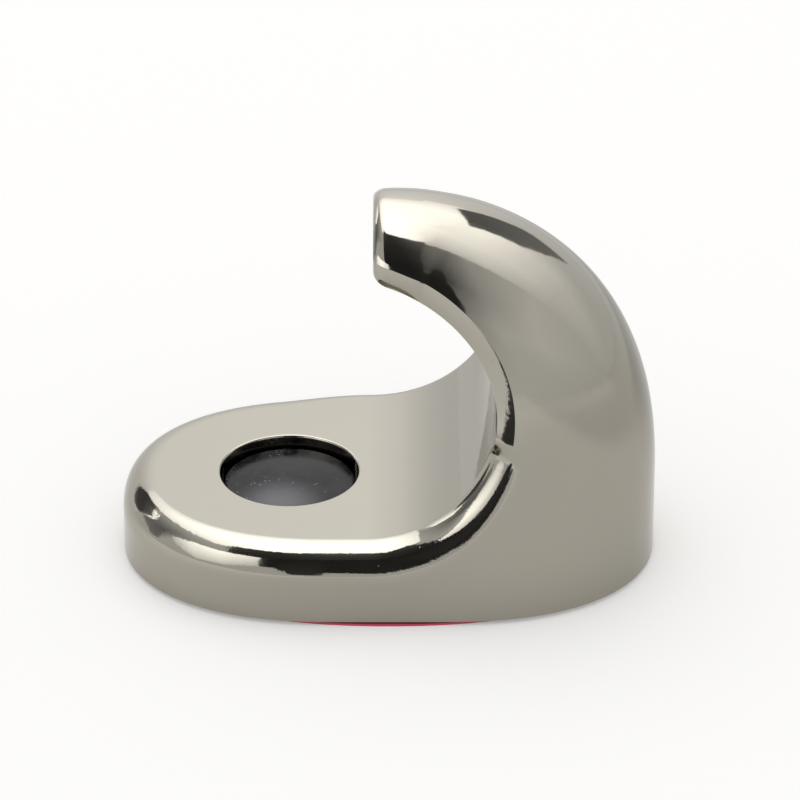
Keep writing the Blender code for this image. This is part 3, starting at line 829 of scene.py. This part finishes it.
caught = add_node(tree, "ShaderNodeMapRange", {
    "Value": patch.outputs[0], "From Min": DUST_PATCH_LIMITS[0],
    "From Max": DUST_PATCH_LIMITS[1]})
specks = add_node(tree, "ShaderNodeMath", {0: speck.outputs[0], 1: caught.outputs[0]},
                  operation="MULTIPLY")
# The painted highlight: a round pale patch towards the dome's front, mixed in with the dust
# specks.
off_painted_highlight = add_node(tree, "ShaderNodeVectorMath", {0: place, 1: PAINTED_HIGHLIGHT_PLACE},
                    operation="DISTANCE")
painted_highlight_cover = add_node(tree, "ShaderNodeMapRange", {
    "Value": off_painted_highlight.outputs["Value"], "From Min": PAINTED_HIGHLIGHT_LIMITS[0],
    "From Max": PAINTED_HIGHLIGHT_LIMITS[1], "To Min": PAINTED_HIGHLIGHT_COVER, "To Max": 0.0},
    interpolation_type="SMOOTHSTEP")
dust_and_painted_highlight = add_node(tree, "ShaderNodeMath", {0: specks.outputs[0], 1: painted_highlight_cover.outputs[0]},
                  operation="MAXIMUM")
coloured = add_node(tree, "ShaderNodeMix", {
    MIX_SHARE: dust_and_painted_highlight.outputs[0], MIX_FIRST: moulded.outputs[MIX_RESULT],
    MIX_SECOND: linear(DUST_AND_HIGHLIGHT_GREY)}, data_type="RGBA")
gloss = add_node(tree, "ShaderNodeMapRange", {
    "Value": scuffs.outputs[0], "From Min": GLOSS_LIMITS[0], "From Max": GLOSS_LIMITS[1],
    "To Min": PLASTIC_ROUGHNESS[0], "To Max": PLASTIC_ROUGHNESS[1]})
grain = add_node(tree, "ShaderNodeTexNoise", {
    "Vector": place, "Scale": 1 / GRAIN_SPACING, "Detail": GRAIN_DETAIL})
grained = add_node(tree, "ShaderNodeBump", {
    "Height": grain.outputs[0], "Distance": GRAIN_HEIGHT})
surface = add_node(tree, "ShaderNodeBsdfPrincipled", {
    "Base Color": coloured.outputs[MIX_RESULT], "Roughness": gloss.outputs[0],
    "Specular IOR Level": PLASTIC_SHINE, "Normal": grained.outputs[0]})
add_node(tree, "ShaderNodeOutputMaterial", {"Surface": surface.outputs[0]})
cap.data.materials.append(plastic)
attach(cap, "cap")
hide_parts("screw_cap")


# The adhesive pad: a sheet of grey acrylic foam, punched out to the recess's outline with a hole
# for the screw. It is sticky on both faces and stands just proud of the casting's rim.
PAD_GAP = 0.0003
PAD_PROUD = 0.0001
PAD_HOLE_RADIUS = 0.0055
PAD_SHARP_ANGLE = math.radians(35)

pad_inset = RECESS_WALL + PAD_GAP
pad_low = HOOK_BASE - PAD_PROUD
pad_high = HOOK_BASE + RECESS_DEPTH - PAD_GAP
pad = plate_piece(
    "foam_pad",
    oval_outline(HALF_LENGTH - pad_inset, HALF_WIDTH - pad_inset, HALF_STRAIGHT, OVAL_POWER),
    pad_low, pad_high)
pad_punch = turned_piece("pad_punch", [
    (0, pad_high + PAD_GAP), (PAD_HOLE_RADIUS, pad_high + PAD_GAP),
    (PAD_HOLE_RADIUS, pad_low - PAD_GAP), (0, pad_low - PAD_GAP)], SCREW_X)
cut_piece(pad, [pad_punch])
smooth_piece(pad, PAD_SHARP_ANGLE)

# Closed-cell acrylic foam: a dull dark grey, pricked all over with cut cells, with a faint sheen
# from the tacky skin between them. The cells are drawn three times their size, so that they show.
FOAM_GREY = "5C5B5D"
CELL_GREY = "343436"
CELL_ROUGHNESS = 0.9
SKIN_ROUGHNESS = 0.5
CELL_SPACING = 0.00028
CELL_LIMITS = (0.15, 0.6)
CELL_DEPTH = 0.00006
CLOUD_SPACING = 0.004
CLOUD_LIMITS = (0.3, 0.7)
CLOUD_LEAST_SHARE = 0.75

foam = empty_material("grey acrylic foam")
tree = foam.node_tree
place = add_node(tree, "ShaderNodeTexCoord").outputs["Object"]
cells = add_node(tree, "ShaderNodeTexVoronoi", {"Vector": place, "Scale": 1 / CELL_SPACING})
wall = add_node(tree, "ShaderNodeMapRange", {
    "Value": cells.outputs["Distance"], "From Min": CELL_LIMITS[0], "From Max": CELL_LIMITS[1]},
    interpolation_type="SMOOTHSTEP")
cloud = add_node(tree, "ShaderNodeTexNoise", {"Vector": place, "Scale": 1 / CLOUD_SPACING})
shade = add_node(tree, "ShaderNodeMapRange", {
    "Value": cloud.outputs[0], "From Min": CLOUD_LIMITS[0], "From Max": CLOUD_LIMITS[1],
    "To Min": CLOUD_LEAST_SHARE})
skin = add_node(tree, "ShaderNodeMath", {0: wall.outputs[0], 1: shade.outputs[0]},
                operation="MULTIPLY")
foamed = add_node(tree, "ShaderNodeMix", {
    MIX_SHARE: skin.outputs[0], MIX_FIRST: linear(CELL_GREY), MIX_SECOND: linear(FOAM_GREY)},
    data_type="RGBA")
tack = add_node(tree, "ShaderNodeMapRange", {
    "Value": wall.outputs[0], "To Min": CELL_ROUGHNESS, "To Max": SKIN_ROUGHNESS})
pricked = add_node(tree, "ShaderNodeBump", {"Height": wall.outputs[0], "Distance": CELL_DEPTH})
surface = add_node(tree, "ShaderNodeBsdfPrincipled", {
    "Base Color": foamed.outputs[MIX_RESULT], "Roughness": tack.outputs[0],
    "Normal": pricked.outputs[0]})
add_node(tree, "ShaderNodeOutputMaterial", {"Surface": surface.outputs[0]})
pad.data.materials.append(foam)
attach(pad, "hook")
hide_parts("adhesive_pad")


# The release liner: a thin red polyester film that keeps the pad clean until the hook is stuck
# up. It reaches just past the foot's long sides, where it shows as a fine red line, and it is
# drawn at twice the real film's 0.1 mm, so that the line shows.
LINER_THICKNESS = 0.0002
LINER_SIDE_OVERHANG = 0.00008
LINER_END_INSET = 0.0008
LINER_POWER = 2.2
LINER_SHARP_ANGLE = math.radians(35)

liner = plate_piece(
    "red_liner",
    oval_outline(HALF_LENGTH - LINER_END_INSET, HALF_WIDTH + LINER_SIDE_OVERHANG, 0, LINER_POWER),
    0, LINER_THICKNESS)
smooth_piece(liner, LINER_SHARP_ANGLE)

# Dyed polyester film with a silicone face: an even crimson with a soft gloss, pressed into faint
# long ripples by the foam and marked with fine hairlines from the roll.
FILM_RED = "D85470"
FILM_DEEP = "C84660"
FILM_ROUGHNESS = (0.2, 0.36)
RIPPLE_SPACING = 0.0035
RIPPLE_DETAIL = 1.0
RIPPLE_HEIGHT = 0.00004
HAIRLINE_SPACING = 0.00035
HAIRLINE_STRETCH = 0.03
HAIRLINE_DETAIL = 4.0
HAIRLINE_LIMITS = (0.3, 0.7)
HAIRLINE_HEIGHT = 0.000002

film = empty_material("red polyester film")
tree = film.node_tree
place = add_node(tree, "ShaderNodeTexCoord").outputs["Object"]
ripples = add_node(tree, "ShaderNodeTexNoise", {
    "Vector": place, "Scale": 1 / RIPPLE_SPACING, "Detail": RIPPLE_DETAIL})
along = add_node(tree, "ShaderNodeMapping", {
    "Vector": place, "Scale": (HAIRLINE_STRETCH, 1, 1)})
hairlines = add_node(tree, "ShaderNodeTexNoise", {
    "Vector": along.outputs[0], "Scale": 1 / HAIRLINE_SPACING, "Detail": HAIRLINE_DETAIL})
dyed = add_node(tree, "ShaderNodeMix", {
    MIX_SHARE: ripples.outputs[0], MIX_FIRST: linear(FILM_RED), MIX_SECOND: linear(FILM_DEEP)},
    data_type="RGBA")
sheen = add_node(tree, "ShaderNodeMapRange", {
    "Value": hairlines.outputs[0], "From Min": HAIRLINE_LIMITS[0],
    "From Max": HAIRLINE_LIMITS[1], "To Min": FILM_ROUGHNESS[0], "To Max": FILM_ROUGHNESS[1]})
rippled = add_node(tree, "ShaderNodeBump", {
    "Height": ripples.outputs[0], "Distance": RIPPLE_HEIGHT})
scratched = add_node(tree, "ShaderNodeBump", {
    "Height": hairlines.outputs[0], "Distance": HAIRLINE_HEIGHT, "Normal": rippled.outputs[0]})
surface = add_node(tree, "ShaderNodeBsdfPrincipled", {
    "Base Color": dyed.outputs[MIX_RESULT], "Roughness": sheen.outputs[0],
    "Normal": scratched.outputs[0]})
add_node(tree, "ShaderNodeOutputMaterial", {"Surface": surface.outputs[0]})
liner.data.materials.append(film)
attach(liner, "liner")
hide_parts("release_liner")
